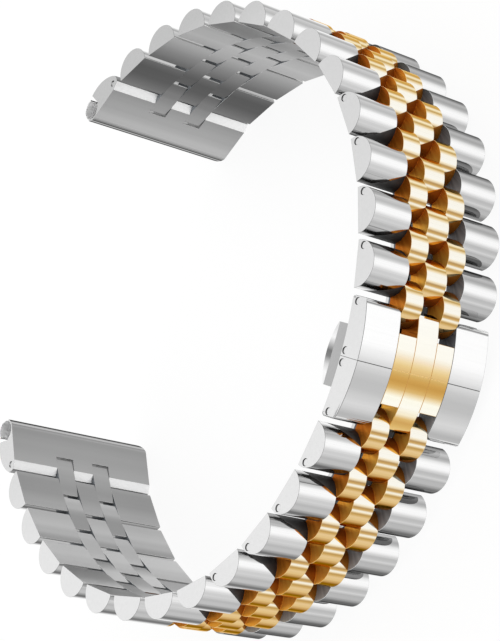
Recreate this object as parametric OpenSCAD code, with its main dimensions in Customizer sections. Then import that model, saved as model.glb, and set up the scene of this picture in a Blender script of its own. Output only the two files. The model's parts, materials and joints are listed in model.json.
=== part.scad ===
// Five-column link strap for a wrist watch, closed by a hidden butterfly clasp.
// The strap lies on its long edge, open where the watch goes. X points out through
// the closed clasp, Y towards the upper arm and Z across the strap. The origin is
// under the middle of the outline, at the height of the lower edge.

/* [Width] */
// Width at the two ends that meet the watch
lug_w = 20; // [18.5:0.5:22]
// Width at the clasp
clasp_w = 17; // [16.6:0.2:18.4]
// Width of the centre column
centre_w = 2.8; // [2.2:0.1:3.2]
// Width of each narrow column
narrow_w = 2.35; // [2:0.05:2.6]
// Gap between neighbouring columns
side_gap = 0.05; // [0.02:0.01:0.1]

/* [Links] */
// Rows of links in each arm
rows = 12; // [6:1:12]
// Radius of the round outer face of a link
link_r = 2.48; // [2.3:0.02:2.7]
// Height of the centre of that round above the flat wrist face
link_lift = 0.15; // [0:0.05:0.3]
// Gap between neighbouring rows when the strap is straight
row_gap = 0.72; // [0.6:0.02:0.9]
// Distance from the end of a link to its pin
pin_inset = 0.675; // [0.6:0.025:0.85]
// Height of the pins above the wrist face
pin_h = 0.85; // [0.75:0.05:1]
// Radius of the link pins
pin_r = 0.35; // [0.25:0.05:0.4]
// Play between a pin and its bore, on the radius
pin_play = 0.03; // [0.02:0.01:0.06]
// Metal left over the blind end of a pin
pin_cap = 0.9; // [0.5:0.1:1.5]
// Depth of a pin's open end below the side face
pin_sink = 0.12; // [0.05:0.01:0.3]
// Rows next to the clasp whose outer pin can be taken out
loose_rows = 4; // [0:1:6]

/* [End links] */
// Radius of the bore for the spring bar
bar_bore_r = 1; // [0.8:0.05:1.1]
// Wall of the rolled loop round that bore
bar_wall = 0.4; // [0.3:0.05:0.5]
// Distance from the last pin to the centre of that bore
bar_reach = 4.7; // [4.6:0.1:5.4]
// Radius of the end link's outer face
end_r = 4.3; // [4:0.1:5]
// Thickness of the end link at its crown
end_t = 3.05; // [2.9:0.05:3.3]
// Length of the solid body past the last pin, at the wrist face
end_body = 3.15; // [2.8:0.05:3.3]
// How far the body leans out over the loop
end_lean = 0.55; // [0.3:0.05:0.7]
// Room between a narrow link and the bottom of its slot in an end link
end_slot_room = 0.3; // [0.25:0.05:0.5]

/* [Covers] */
// Length of one cover, from the seam to its outer end
cover_len = 6.2; // [6:0.1:6.6]
// Thickness of a cover at the seam
cover_t = 2.75; // [2.6:0.05:3]
// Radius of the covers' outer face
cover_out_r = 18; // [17:1:26]
// Radius of the covers' wrist face
cover_in_r = 38; // [34:1:46]
// Gap between the closed covers
seam_gap = 0.06; // [0.04:0.02:0.16]
// Distance from a cover's outer end to its outer pin
cover_inset = 0.55; // [0.5:0.05:0.7]
// Room between a narrow link and the bottom of its slot in a cover
cover_slot_room = 0.58; // [0.4:0.02:0.7]
// Rounding of the slot's outer corners, seen from outside
cover_corner_r = 0.9; // [0.5:0.1:1.2]
// Chamfer along the outer end of a cover
cover_chamfer = 0.3; // [0.1:0.05:0.4]
// Skin left over the hinge pocket
cover_skin = 0.7; // [0.5:0.05:0.9]
// Distance of the seam pins from the seam
seam_pin_y = 0.62; // [0.6:0.02:0.8]
// Height of the seam pins above the wrist face
seam_pin_h = 0.5; // [0.46:0.02:0.6]

/* [Blades and base] */
// Width of the blades and of the base between them
blade_w = 10; // [9:0.5:10.4]
// Thickness of a blade
blade_t = 0.9; // [0.7:0.05:1]
// Thickness of the base
base_t = 0.9; // [0.7:0.05:1]
// Radius of a blade's outer face
blade_r = 38; // [36:1:42]
// Gap between the covers and the blades, at the seam
blade_gap = 0.6; // [0.5:0.05:0.8]
// Gap between the folded blades and the base
fold_gap = 0.15; // [0.1:0.05:0.25]
// Distance from the seam to a blade's hinge on the base
blade_reach = 14.6; // [14:0.1:15]
// Radius of the pins between the blades and the base
fold_pin_r = 0.4; // [0.3:0.05:0.5]
// Wall of a blade's lug round its seam pin
lug_wall = 0.19; // [0.15:0.01:0.2]
// Width of that lug
lug_len = 6; // [5:0.5:6.5]
// Width of the base's knuckle, in the middle of each hinge
knuckle_w = 4.9; // [3:0.1:6]
// Gap between pieces that turn beside each other
turn_gap = 0.1; // [0.05:0.01:0.15]

/* [Buttons] */
// Length of a push-button along the strap
button_len = 6.5; // [6:0.1:7]
// Radius of the round wrist side of a button
button_r = 5.4; // [5:0.1:7]
// Depth of a button at its middle
button_d = 2.4; // [2.1:0.05:2.6]
// Depth of a button's face below the side of the clasp
button_sink = 0.1; // [0.05:0.05:0.8]
// Travel of a button
button_travel = 0.8; // [0.5:0.05:0.9]
// Radius of a button's stem
stem_r = 0.42; // [0.35:0.01:0.45]
// Length of the spring between the two stems
spring_len = 3; // [2.5:0.1:4]
// Wall of the spring's outline
spring_wall = 0.15; // [0.1:0.01:0.2]
// Length of the guide block under the base, along the strap
guide_len = 5.2; // [4:0.1:6]
// Wall round the stems' bore, on the wrist side
guide_wall = 0.2; // [0.15:0.05:0.3]

/* [Hidden] */
$fn = 64;
// Tilt of the clasp's outer ends, then the bend at each pair of narrow links,
// chosen by hand so that the strap lies in an open C
cover_tilt = 4.5;
bends = [10, 9, 9.5, 11, 11.5, 12, 9, 11, 10, 10, 12, 9.5, 15.5];

function two(i) = str(i < 10 ? "0" : "", i);
ARMS = ["upper", "lower"];

// Sizes of the links
link_len = 2 * sqrt(pow(link_r, 2) - pow(link_lift, 2));
pitch = link_len + row_gap;
row_span = link_len - 2 * pin_inset;
pair_span = pitch - row_span;
pair_tail = (link_len - pair_span) / 2;
bore_r = pin_r + pin_play;
narrow_z = centre_w / 2 + side_gap;
outer_z = narrow_z + narrow_w + side_gap;
big = 60;

// The clasp is laid out from the covers' wrist face at the seam, at x = seam_x
seam_x = -0.5;
function arc_x(top, r, y) = top - r + sqrt(pow(r, 2) - pow(y, 2));
cover_pin_y = cover_len - cover_inset;
cover_pin = [arc_x(seam_x, cover_in_r, cover_pin_y) + pin_h, cover_pin_y];
cover_slot_y = cover_pin_y - pair_tail - cover_slot_room;
cover_shoulder = cover_len - 2 * cover_chamfer;
cover_end_out = arc_x(seam_x + cover_t, cover_out_r, cover_len);
cover_end_in = arc_x(seam_x, cover_in_r, cover_len);
seam_pin = [seam_x + seam_pin_h, seam_pin_y];
lug_r = bore_r + lug_wall;
blade_top = seam_x - blade_gap;
base_top = blade_top - blade_t - fold_gap;
base_r = blade_r - blade_t - fold_gap;
fold_r = blade_r - blade_t - fold_gap / 2;
fold_pin = [arc_x(blade_top - blade_t - fold_gap / 2, fold_r, blade_reach), blade_reach];
fold_bore_r = fold_pin_r + pin_play;
knuckle_r = blade_t + fold_gap / 2 - pin_play;
fold_cut_y = blade_reach - knuckle_r - turn_gap;
blade_end_y = seam_pin_y - turn_gap;
stem_bore_r = stem_r + pin_play;
stem_x = base_top - guide_wall - stem_bore_r;
guide_x = stem_x - stem_bore_r - guide_wall;
button_top = seam_x - 0.35;
button_z = clasp_w / 2 - button_sink;
button_back = blade_w / 2 + button_travel + 2 * turn_gap;
finger_z = blade_w / 2 + turn_gap;
notch_z = finger_z - button_travel - turn_gap;
notch_y = 1.9;

// Heading of the cover, i = 0, and of each row. The last one is the end link.
function bend(i) = i == rows ? bends[len(bends) - 1] : bends[i];
function heading(i) = i == 0 ? cover_tilt : heading(i - 1) + bend(i - 1);
function pair_heading(i) = (heading(i - 1) + heading(i)) / 2;
function along(a) = [-sin(a), cos(a)];
// Pin on the side away from the clasp, and pin on the side towards it
function far_pin(i) = i == 0 ? cover_pin : near_pin(i) + row_span * along(heading(i));
function near_pin(i) = far_pin(i - 1) + pair_span * along(pair_heading(i));
function half_w(i) = (clasp_w + (lug_w - clasp_w) * i / (rows + 1)) / 2;

// The end link's loop, in the end link's own frame
bar_h = bar_bore_r + bar_wall;
bar_x = bar_h - pin_h;
function turned(p, a) = [p.x * cos(a) - p.y * sin(a), p.x * sin(a) + p.y * cos(a)];
bar_place = near_pin(rows + 1) + turned([bar_x, bar_reach], heading(rows + 1));
// Middle of the outline along X
mid_x = (seam_x + cover_t + bar_place.x - bar_h) / 2;

module in_frame(arm) {
    translate([-mid_x, 0, lug_w / 2])
        mirror([0, arm == "lower" ? 1 : 0, 0]) children();
}

module at_pin(p, a) {
    translate([p.x, p.y, 0]) rotate([0, 0, a]) children();
}

// A round bar along Z from z0 to z1
module bar(p, r, z0, z1) {
    translate([p.x, p.y, z0]) cylinder(r = r, h = z1 - z0);
}

// Half-round link outline with its pins at y = 0 and y = span
module link_outline(span) {
    intersection() {
        translate([link_lift - pin_h, span / 2]) circle(r = link_r);
        translate([-pin_h, -big / 2]) square(big);
    }
}

module link(span, z0, z1) {
    translate([0, 0, z0]) linear_extrude(z1 - z0) link_outline(span);
}

// Ends of the pin at y: the upper end is open where open_end is true
function pin_top(half, open_end) = open_end ? half - pin_sink : half - pin_cap;
function pin_foot(half) = pin_cap - half;

module row(arm, i) {
    half = half_w(i);
    open_far = i <= loose_rows;
    in_frame(arm) at_pin(near_pin(i), heading(i)) {
        color("silver")
            for (side = [-1, 1])
                difference() {
                    link(row_span, min(side * outer_z, side * half), max(side * outer_z, side * half));
                    bar([0, 0], bore_r, pin_foot(half) - side_gap, pin_top(half, false) + side_gap);
                    bar([0, row_span], bore_r, pin_foot(half) - side_gap, open_far ? big : pin_top(half, false) + side_gap);
                }
        color("goldenrod")
            difference() {
                link(row_span, -centre_w / 2, centre_w / 2);
                bar([0, 0], bore_r, -centre_w, centre_w);
                bar([0, row_span], bore_r, -centre_w, centre_w);
            }
        color("lightgray") {
            bar([0, 0], pin_r, pin_foot(half), pin_top(half, false));
            bar([0, row_span], pin_r, pin_foot(half), pin_top(half, open_far));
        }
    }
}

module pair(arm, i) {
    in_frame(arm) at_pin(far_pin(i - 1), pair_heading(i))
        color("goldenrod")
            for (side = [-1, 1])
                difference() {
                    z = side > 0 ? narrow_z : -narrow_z - narrow_w;
                    link(pair_span, z, z + narrow_w);
                    bar([0, 0], bore_r, z - side_gap, z + narrow_w + side_gap);
                    bar([0, pair_span], bore_r, z - side_gap, z + narrow_w + side_gap);
                }
}

// Side outline of an end link, with its pin at the origin
module end_outline() {
    crown_x = end_t - pin_h;
    crown_y = end_body - end_lean;
    lean_y = end_body + end_lean * 1.1;
    circle(r = pin_h);
    intersection() {
        translate([crown_x - end_r, crown_y]) circle(r = end_r);
        polygon([
            [-pin_h, 0], [-pin_h, end_body], [bar_wall - pin_h, end_body],
            [end_t - pin_h, lean_y], [end_t - pin_h, -pin_h], [0, -pin_h]
        ]);
    }
    difference() {
        union() {
            translate([-pin_h, 0]) square([bar_wall, bar_reach]);
            translate([-pin_h, end_body - bar_wall]) square([bar_h, bar_reach - end_body + bar_wall]);
            translate([bar_x, bar_reach]) circle(r = bar_h);
        }
        translate([bar_x, bar_reach]) circle(r = bar_bore_r);
        translate([bar_x, bar_reach])
            polygon([for (a = [[0, 0], [5, 112], [5, 150], [5, 192]]) a[0] * [sin(a[1]), cos(a[1])]]);
    }
}

module end_link(arm) {
    half = lug_w / 2;
    slot_y = pair_tail + end_slot_room;
    in_frame(arm) at_pin(near_pin(rows + 1), heading(rows + 1)) {
        color("silver")
            difference() {
                translate([0, 0, -half]) linear_extrude(lug_w) end_outline();
                for (side = [-1, 1])
                    translate([-pin_h - side_gap, -big + slot_y, side > 0 ? centre_w / 2 : -outer_z])
                        cube([big, big, outer_z - centre_w / 2]);
                bar([0, 0], bore_r, pin_foot(half) - side_gap, big);
            }
        color("lightgray") bar([0, 0], pin_r, pin_foot(half), pin_top(half, true));
    }
}

// Rounds a corner of a cover, seen along X: the corner is at y = cover_len and z,
// and the metal lies on the side that grow says
module corner_cut(z, grow, r) {
    translate([-big / 2, 0, 0])
        rotate([90, 0, 90])
            linear_extrude(big)
                translate([cover_len - r, z + grow * r])
                    difference() {
                        translate([0, grow > 0 ? -r - 0.01 : 0]) square([2 * r, r + 0.01]);
                        circle(r = r);
                    }
}

module cover_outline() {
    difference() {
        intersection() {
            translate([seam_x + cover_t - cover_out_r, 0]) circle(r = cover_out_r, $fn = 180);
            polygon([
                [-big, seam_gap / 2], [big, seam_gap / 2], [big, cover_shoulder],
                [cover_end_out + cover_chamfer, cover_shoulder],
                [cover_end_out - cover_chamfer, cover_len], [cover_end_in + cover_chamfer, cover_len],
                [cover_end_in - cover_chamfer, cover_shoulder], [-big, cover_shoulder]
            ]);
        }
        translate([seam_x - cover_in_r, 0]) circle(r = cover_in_r, $fn = 180);
    }
}
module cover(arm) {
    half = clasp_w / 2;
    pocket_y = seam_pin_y + lug_r + turn_gap;
    pocket_z = lug_len / 2 + turn_gap;
    in_frame(arm) {
        color("silver")
            difference() {
                translate([0, 0, -half]) linear_extrude(clasp_w) cover_outline();
                for (side = [-1, 1]) {
                    translate([-big, cover_slot_y, side > 0 ? centre_w / 2 : -outer_z])
                        cube([2 * big, big, outer_z - centre_w / 2]);
                    corner_cut(side * outer_z, side, cover_corner_r);
                    corner_cut(side * centre_w / 2, -side, cover_corner_r / 2);
                }
                translate([-big + seam_x + cover_t - cover_skin, -lug_r, -pocket_z])
                    cube([big, pocket_y + lug_r, 2 * pocket_z]);
                bar(cover_pin, bore_r, pin_foot(half) - side_gap, big);
                bar(seam_pin, bore_r, pin_foot(half) - side_gap, big);
            }
        color("lightgray")
            for (p = [cover_pin, seam_pin])
                bar(p, pin_r, pin_foot(half), pin_top(half, true));
    }
}

// Curved band about the fold's centre line, from y0 to y1
module band(top, r, t, y0, y1) {
    intersection() {
        difference() {
            translate([top - r, 0]) circle(r = r, $fn = 180);
            translate([top - r, 0]) circle(r = r - t, $fn = 180);
        }
        translate([top - r / 2, y0]) square([r, y1 - y0]);
    }
}

module blade(arm) {
    half = blade_w / 2;
    inner_z = knuckle_w / 2 + turn_gap;
    in_frame(arm)
        color("gainsboro")
            difference() {
                union() {
                    translate([0, 0, -half]) linear_extrude(blade_w)
                        band(blade_top, blade_r, blade_t, seam_pin_y + lug_r, fold_cut_y);
                    translate([0, 0, -lug_len / 2]) linear_extrude(lug_len)
                        band(blade_top, blade_r, blade_t, blade_end_y, blade_reach / 2);
                    for (side = [-1, 1])
                        translate([0, 0, side > 0 ? inner_z : -half]) linear_extrude(half - inner_z) {
                            band(blade_top, blade_r, blade_t, fold_cut_y - blade_t, blade_reach);
                            translate(fold_pin) circle(r = knuckle_r);
                        }
                    translate([0, 0, -lug_len / 2]) linear_extrude(lug_len) {
                        translate(seam_pin) circle(r = lug_r);
                        translate([blade_top - blade_t / 2, blade_end_y])
                            square([seam_pin.x - blade_top + blade_t / 2, lug_r + turn_gap]);
                    }
                }
                bar(seam_pin, bore_r, -half, half);
                bar(fold_pin, fold_bore_r, -half - turn_gap, half + turn_gap);
                for (side = [-1, 1])
                    translate([-big / 2, 0, side > 0 ? notch_z : -notch_z - big])
                        cube([big, notch_y, big]);
            }
}

module clasp_base() {
    half = blade_w / 2;
    in_frame("upper") {
        color("gainsboro")
            difference() {
                union() {
                    translate([0, 0, -half]) linear_extrude(blade_w)
                        band(base_top, base_r, base_t, -fold_cut_y, fold_cut_y);
                    translate([0, 0, -half]) linear_extrude(blade_w)
                        intersection() {
                            translate([base_top - base_r, 0]) circle(r = base_r, $fn = 180);
                            translate([guide_x, -guide_len / 2]) square([big, guide_len]);
                        }
                    for (side = [-1, 1])
                        mirror([0, side > 0 ? 0 : 1, 0])
                            translate([0, 0, -knuckle_w / 2]) linear_extrude(knuckle_w) {
                                band(base_top, base_r, base_t, fold_cut_y - blade_t, blade_reach);
                                translate(fold_pin) circle(r = knuckle_r);
                            }
                }
                bar([stem_x, 0], stem_bore_r, -half - turn_gap, half + turn_gap);
                for (side = [-1, 1])
                    bar([fold_pin.x, side * fold_pin.y], fold_bore_r, -half, half);
            }
        color("lightgray")
            for (side = [-1, 1])
                bar([fold_pin.x, side * fold_pin.y], fold_pin_r, side_gap - half, half - side_gap);
    }
}

module button_spring() {
    in_frame("upper")
        color("dimgray")
            difference() {
                bar([stem_x, 0], stem_r, -spring_len / 2, spring_len / 2);
                bar([stem_x, 0], stem_r - spring_wall, -spring_len, spring_len);
            }
}

// A push-button with its stem and its two catch fingers
module button(side) {
    finger_y = seam_pin_y + turn_gap;
    in_frame("upper")
        mirror([0, 0, side > 0 ? 0 : 1])
            color("silver") {
                translate([0, 0, button_back]) linear_extrude(button_z - button_back)
                    intersection() {
                        translate([button_top - button_d + button_r, 0]) circle(r = button_r);
                        translate([button_top - big, -button_len / 2]) square([big, button_len]);
                    }
                bar([stem_x, 0], stem_r, spring_len / 2, button_back + stem_r);
                for (end = [-1, 1])
                    translate([blade_top - blade_t, end > 0 ? finger_y : -finger_y - blade_t, finger_z])
                        cube([blade_t - turn_gap, blade_t, button_back - finger_z + stem_r]);
            }
}

clasp_base();
button_spring();
button(1);  // front_button
button(-1);  // back_button
for (arm = ARMS) {
    blade(arm);
    cover(arm);
    end_link(arm);
    for (i = [1:rows])
        row(arm, i);
    for (i = [1:rows + 1])
        pair(arm, i);
}
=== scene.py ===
import json
import math

import bpy
from mathutils import Matrix, Vector


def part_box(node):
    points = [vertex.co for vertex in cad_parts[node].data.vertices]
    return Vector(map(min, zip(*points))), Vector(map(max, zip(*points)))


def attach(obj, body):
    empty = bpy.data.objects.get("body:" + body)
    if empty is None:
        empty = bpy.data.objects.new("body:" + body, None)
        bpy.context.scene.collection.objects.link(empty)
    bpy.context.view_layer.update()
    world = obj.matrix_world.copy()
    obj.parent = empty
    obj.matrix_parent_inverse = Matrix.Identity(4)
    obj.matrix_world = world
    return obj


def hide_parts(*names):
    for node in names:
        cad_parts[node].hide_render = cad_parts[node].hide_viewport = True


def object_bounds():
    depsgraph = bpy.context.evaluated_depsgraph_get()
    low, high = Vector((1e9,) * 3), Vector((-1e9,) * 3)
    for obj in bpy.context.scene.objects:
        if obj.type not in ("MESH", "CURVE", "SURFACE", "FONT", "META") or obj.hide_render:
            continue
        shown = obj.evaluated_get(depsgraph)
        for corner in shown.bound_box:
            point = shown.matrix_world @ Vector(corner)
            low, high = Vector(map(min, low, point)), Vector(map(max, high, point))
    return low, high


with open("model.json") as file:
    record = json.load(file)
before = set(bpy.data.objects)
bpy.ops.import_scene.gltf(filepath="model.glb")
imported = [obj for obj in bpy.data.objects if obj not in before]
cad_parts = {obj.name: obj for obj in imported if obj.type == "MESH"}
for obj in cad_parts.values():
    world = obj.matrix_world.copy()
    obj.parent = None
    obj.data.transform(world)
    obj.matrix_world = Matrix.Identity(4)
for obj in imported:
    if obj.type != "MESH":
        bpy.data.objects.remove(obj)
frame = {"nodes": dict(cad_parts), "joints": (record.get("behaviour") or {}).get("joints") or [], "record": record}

# The strap stands on its long edge. Z runs across the strap, so every link is a bar along Z.
cadLow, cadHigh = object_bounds()
arms = ["upper", "lower"]
rowCount = 12
hinges = {joint["name"]: Vector(joint["pos_m"]) for joint in frame["joints"] if "pos_m" in joint}
barBores = {mount["name"]: Vector(mount["pos_m"]) for mount in frame["record"]["mounts"]}
middle = hinges["upper_cover_turn"].z  # height of the strap's mid-plane
unit = 0.001  # pieces are modelled in millimetres and set in place in metres

camera = {
    "place": (0.181721, 0.003456, 0.145977),
    "turn": (18.5525, 50.8232, 24.2848),  # degrees
    "lens": 113.54,
    "sensor": 36,
}


def addCamera():
    turn = [math.radians(angle) for angle in camera["turn"]]
    bpy.ops.object.camera_add(location=camera["place"], rotation=turn)
    eye = bpy.context.object
    eye.name = "photoCamera"
    eye.data.lens = camera["lens"]
    eye.data.sensor_width = camera["sensor"]
    bpy.context.scene.camera = eye


addCamera()
print("camera set")

# helpers for modelling

slack = 0.01  # millimetres within which two places count as one


def freshStart():
    if bpy.context.object and bpy.context.object.mode != "OBJECT":
        bpy.ops.object.mode_set(mode="OBJECT")
    bpy.ops.object.select_all(action="DESELECT")


def activate(piece):
    freshStart()
    piece.select_set(True)
    bpy.context.view_layer.objects.active = piece


def leaveEdit():
    bpy.ops.object.mode_set(mode="OBJECT")


def openEdit(piece):
    # into edit mode with everything selected
    activate(piece)
    bpy.ops.object.mode_set(mode="EDIT")
    bpy.ops.mesh.select_all(action="SELECT")


def cutAway(piece, place, outward):
    # cuts off what lies past a plane and closes the cut
    openEdit(piece)
    bpy.ops.mesh.bisect(plane_co=place, plane_no=outward, use_fill=True, clear_outer=True)
    leaveEdit()


def scoreLine(piece, place, across):
    # draws a line of edges round the piece and cuts nothing off
    openEdit(piece)
    bpy.ops.mesh.bisect(plane_co=place, plane_no=across, use_fill=False)
    leaveEdit()


def carve(piece, tool):
    activate(piece)
    cut = piece.modifiers.new("cut", "BOOLEAN")
    cut.operation = "DIFFERENCE"
    cut.solver = "EXACT"
    cut.object = tool
    bpy.ops.object.modifier_apply(modifier=cut.name)
    bpy.data.objects.remove(tool)


def softenEdges(piece, width, steps=3, angle=40):
    activate(piece)
    bpy.ops.object.shade_smooth()
    rounding = piece.modifiers.new("rounding", "BEVEL")
    rounding.width = width
    rounding.segments = steps
    rounding.limit_method = "ANGLE"
    rounding.angle_limit = math.radians(angle)
    rounding.harden_normals = True
    bpy.ops.object.modifier_apply(modifier=rounding.name)


def flattenShading(piece):
    # lets the big faces set the shading, so that flat faces stay flat beside rounded edges
    activate(piece)
    bpy.ops.object.shade_smooth()
    weighting = piece.modifiers.new("weighting", "WEIGHTED_NORMAL")
    weighting.mode = "FACE_AREA"
    weighting.weight = 100
    bpy.ops.object.modifier_apply(modifier=weighting.name)


def twinOf(piece, name):
    twin = piece.copy()
    twin.data = piece.data.copy()
    twin.name = name
    bpy.context.scene.collection.objects.link(twin)
    return twin


def fuse(pieces, name):
    activate(pieces[0])
    for piece in pieces[1:]:
        piece.select_set(True)
    bpy.ops.object.join()
    pieces[0].name = name
    return pieces[0]


def addBar(place, radius, depth, steps):
    # a plain round bar along Z, to be cut to shape or to cut with
    freshStart()
    bpy.ops.mesh.primitive_cylinder_add(vertices=steps, radius=radius, depth=depth, location=place)
    bpy.ops.object.transform_apply()
    return bpy.context.object


def movePoints(piece, isMoved, way):
    # moves the points whose places isMoved picks
    activate(piece)
    bpy.ops.object.mode_set(mode="EDIT")
    bpy.ops.mesh.select_mode(type="VERT")
    bpy.ops.mesh.select_all(action="DESELECT")
    leaveEdit()
    for point in piece.data.vertices:
        point.select = isMoved(point.co)
    bpy.ops.object.mode_set(mode="EDIT")
    bpy.ops.transform.translate(value=way)
    leaveEdit()


def mirrorPiece(piece, scale):
    activate(piece)
    piece.scale = scale
    bpy.ops.object.transform_apply()
    openEdit(piece)
    bpy.ops.mesh.normals_make_consistent(inside=False)
    leaveEdit()


def resizePiece(piece, sizes, pivot=(0, 0, 0)):
    activate(piece)
    bpy.ops.transform.resize(value=sizes, center_override=pivot)
    bpy.ops.object.transform_apply()


def setInPlace(piece, pin, turn):
    turned = Matrix.Rotation(turn, 4, "Z") @ Matrix.Scale(unit, 4)
    piece.matrix_world = Matrix.Translation(pin) @ turned
    activate(piece)
    bpy.ops.object.transform_apply()


sideMap = 20.0  # millimetres of a side face to the unit of the map "shine"
centimetre = 0.01
flatFace = 0.9  # share of the normal along an axis that makes a face flat to it
rimFace = 0.15  # share across the strap that makes a face the rim of a flat one


def wrapShine(piece, wristCentre):
    # UV map "shine": across is the way that the surface faces round the strap, up is the
    # distance from the mid-plane in centimetres. A wrist face is flat but counts as slightly
    # domed along the strap, so that its painted reflection tone changes from end to end. A
    # side face is mapped flat, by sideMap, with the middle of its link at (0.5, 0.5).
    mesh = piece.data
    heart = wristCentre or sum((point.co for point in mesh.vertices), Vector()) / len(mesh.vertices)
    for layer in list(mesh.uv_layers):
        mesh.uv_layers.remove(layer)
    shine = mesh.uv_layers.new(name="shine")
    normals = [corner.vector for corner in mesh.corner_normals]
    for face in mesh.polygons:
        turns = []
        isWrist = wristCentre is not None and mesh.materials[face.material_index] == wristSteel
        side = 1 if face.center.y > 0 else -1
        away = Vector((face.normal.y, -face.normal.x, 0)) * side
        for corner in face.loop_indices:
            facing = face.normal if isWrist else normals[corner]
            turn = math.atan2(facing.y, facing.x) / (2 * math.pi) + 0.5
            if isWrist:
                spot = mesh.vertices[mesh.loops[corner].vertex_index].co
                turn += (spot - wristCentre).dot(away) / unit * wristCrown / 360
            turns.append(turn)
        seam = max(turns) - min(turns) > 0.5
        for corner, turn in zip(face.loop_indices, turns):
            spot = mesh.vertices[mesh.loops[corner].vertex_index].co
            if abs(face.normal.z) > flatFace:
                shine.data[corner].uv = (spot.xy - heart.xy) / unit / sideMap + Vector((0.5, 0.5))
            else:
                turn += 1 if seam and turn < 0.5 else 0
                shine.data[corner].uv = (turn, abs(spot.z - middle) / centimetre)


def finishPiece(piece, body, nodes, wristCentre=None):
    wrapShine(piece, wristCentre)
    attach(piece, body)
    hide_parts(*nodes)


def paintFaces(piece, finishes, choose):
    # choose gives the finish of a face from its normal and its centre
    piece.data.materials.clear()
    for finish in finishes:
        piece.data.materials.append(finish)
    for face in piece.data.polygons:
        face.material_index = finishes.index(choose(face.normal, face.center))


# materials

# Painted reflection: tones round the strap, by the way that the surface faces, that stand in
# for the bands that polished metal mirrors. 0 degrees faces out through the clasp and 90
# degrees faces the upper arm
steelReflectionTones = {
    -180: 150, -150: 215, -125: 240, -100: 240, -80: 240, -68: 236, -60: 180, -54: 88,
    -48: 92, -40: 156, -34: 190, -28: 190, -21: 182, -16: 198, -11: 206, -3: 206,
    2: 222, 8: 246, 13: 252, 21: 248, 27: 210, 34: 184, 40: 194, 46: 204,
    53: 156, 60: 192, 68: 246, 80: 250, 100: 236, 125: 245, 150: 200, 180: 150,
}
# painted reflection for the far bars: darker than the near ones on the steep flanks
farReflectionTones = {
    -180: 150, -150: 215, -125: 200, -100: 150, -82: 138, -70: 136, -58: 172, -52: 142,
    -46: 156, -40: 176, -34: 192, -28: 188, -22: 182, -16: 214, -10: 192, -4: 190,
    2: 220, 8: 248, 14: 254, 20: 250, 26: 232, 32: 190, 38: 175, 44: 196,
    50: 212, 56: 198, 62: 200, 74: 134, 86: 146, 125: 200, 150: 200, 180: 150,
}
# painted reflection on the rolled ends of the end links, with two fine dark lines
rollReflectionTones = {
    -180: 150, -150: 215, -125: 240, -84: 232, -76: 90, -70: 72, -64: 196, -60: 204,
    -54: 78, -47: 100, -40: 160, 40: 165, 47: 176, 54: 204, 60: 186, 66: 120,
    72: 66, 78: 90, 86: 232, 125: 240, 150: 215, 180: 150,
}
# painted reflection bands on the gold, by the same angles
goldReflectionTones = {
    -180: (150, 100, 45), -140: (235, 205, 145), -110: (250, 226, 170), -82: (255, 238, 190),
    -70: (254, 230, 176), -64: (222, 184, 126), -58: (146, 108, 68), -54: (118, 80, 44),
    -49: (142, 102, 60), -42: (200, 160, 104), -34: (226, 194, 136), -25: (230, 200, 148),
    -19: (205, 166, 96), -16: (186, 146, 82), -13: (226, 200, 150), -9: (253, 249, 233),
    -4: (205, 166, 98), 0: (184, 146, 90), 5: (242, 226, 192), 10: (251, 248, 238),
    27: (250, 246, 234), 32: (240, 220, 178), 38: (192, 154, 82), 44: (246, 234, 196),
    47: (254, 246, 220), 53: (208, 176, 124), 60: (208, 170, 110), 68: (254, 236, 188),
    80: (255, 248, 212), 110: (253, 244, 222), 150: (225, 185, 115), 180: (150, 100, 45),
}
# painted reflection on the faces that lie on the wrist: tones by the way that they face, and
# how many degrees each millimetre along the strap counts as
wristReflectionTones = {
    -180: 190, -130: 205, -92: 138, -82: 130, -77: 165, -72: 182, -65: 167, -60: 131,
    -56: 104, -54: 86, -51: 88, -47: 112, -40: 154, -35: 172, -31: 187, 0: 190,
    31: 170, 35: 163, 40: 155, 47: 170, 51: 152, 55: 152, 58: 178, 61: 188,
    65: 180, 68: 178, 72: 192, 77: 200, 82: 150, 87: 142, 130: 205, 180: 190,
}
wristCrown = 2.2
# painted reflection on the two covers: tones by the distance up the clasp from its seam in
# millimetres
claspReach = 7.0
coverSteelReflectionTones = {
    -7: 110, -6.18: 120, -6.08: 150, -6.0: 232, -5.9: 238, -5.8: 186, -5.4: 181, -4.6: 210,
    -4.2: 215, -3.4: 205, -2.6: 192, -1.8: 191, -1: 199, -0.2: 216, 0.2: 219, 0.6: 230,
    1: 237, 1.8: 251, 2.2: 254, 5.65: 254, 5.76: 150, 5.84: 130, 5.92: 226, 6.02: 236,
    6.12: 150, 6.2: 110, 7: 110,
}
coverGoldReflectionTones = {
    -7: (231, 196, 126), -5.8: (231, 196, 126), -5.4: (217, 177, 104), -5: (208, 164, 92),
    -4.6: (223, 185, 115), -4.2: (246, 234, 203), -3.4: (254, 252, 240), -2.6: (254, 251, 234),
    -2.2: (242, 223, 182), -1.8: (221, 184, 116), -1.4: (210, 165, 89), -1: (201, 154, 77),
    -0.6: (209, 163, 86), -0.2: (213, 175, 103), 0.2: (225, 190, 127), 0.6: (233, 203, 141),
    1: (240, 217, 168), 1.4: (245, 228, 198), 1.8: (250, 243, 225), 2.2: (254, 251, 240),
    7: (254, 252, 246),
}
# painted reflection on the rim of a button: tones by the same distance
buttonRimReflectionTones = {
    -7: 240, -3.2: 240, -2: 250, -1.2: 215, -0.4: 120, 0.2: 105, 0.9: 190, 1.6: 248,
    2.6: 225, 7: 235,
}
# painted shade on gold and steel side faces: tones by the millimetres down the picture from
# the link's middle, darker towards the top
goldShadeTones = {
    -2.3: (150, 78, 20), -1.2: (196, 112, 34), -0.3: (236, 158, 56), 0.8: (252, 186, 76),
    2.3: (254, 200, 96),
}
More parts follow.
